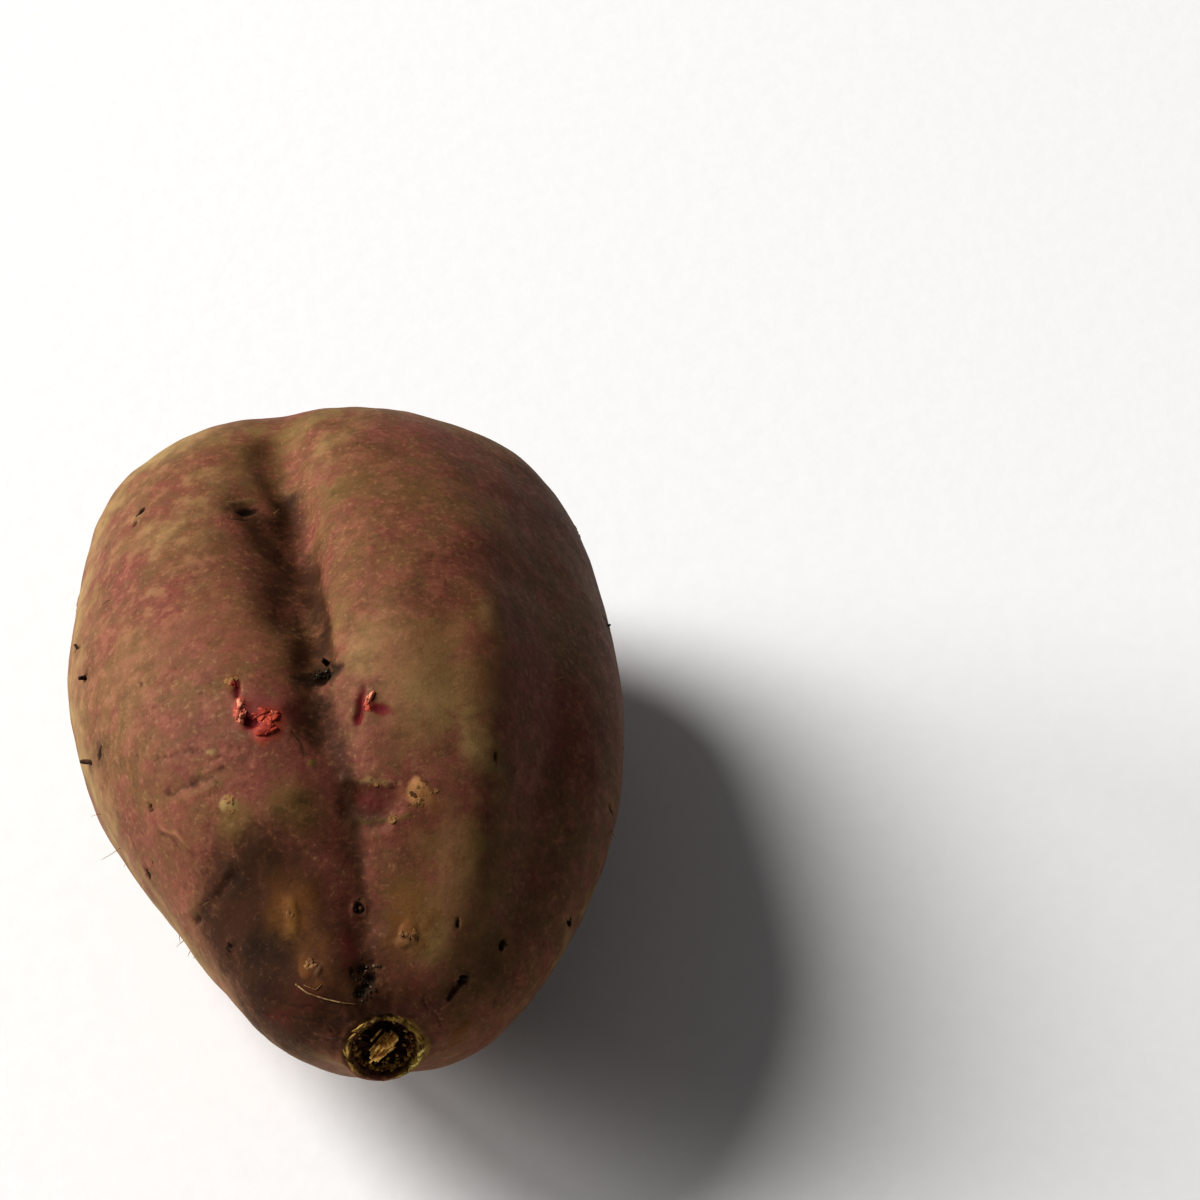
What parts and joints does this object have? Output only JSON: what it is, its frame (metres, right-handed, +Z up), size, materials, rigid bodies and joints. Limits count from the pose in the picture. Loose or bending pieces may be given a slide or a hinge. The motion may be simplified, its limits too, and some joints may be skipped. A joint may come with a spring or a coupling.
{
  "type": "purple sweet potato",
  "caption": "Whole purple sweet potato lying on its side: a plump lobed root with a deep lengthwise groove, a torn stem scar in front and a stub of tail root behind.",
  "frame": {"origin": "middle of the bounding box's underside, on the surface that the root lies on", "axes": "+Y along the root from its stem scar towards its tail, +Z up, +X to the right seen from the scar"},
  "size_m": [0.0868, 0.1346, 0.0713],
  "materials": {
    "skin": "dull corky skin, dusky rose-brown with olive-tan patches"
  },
  "bodies": {
    "root": {"sweet_potato": "skin"}
  },
  "joints": []
}
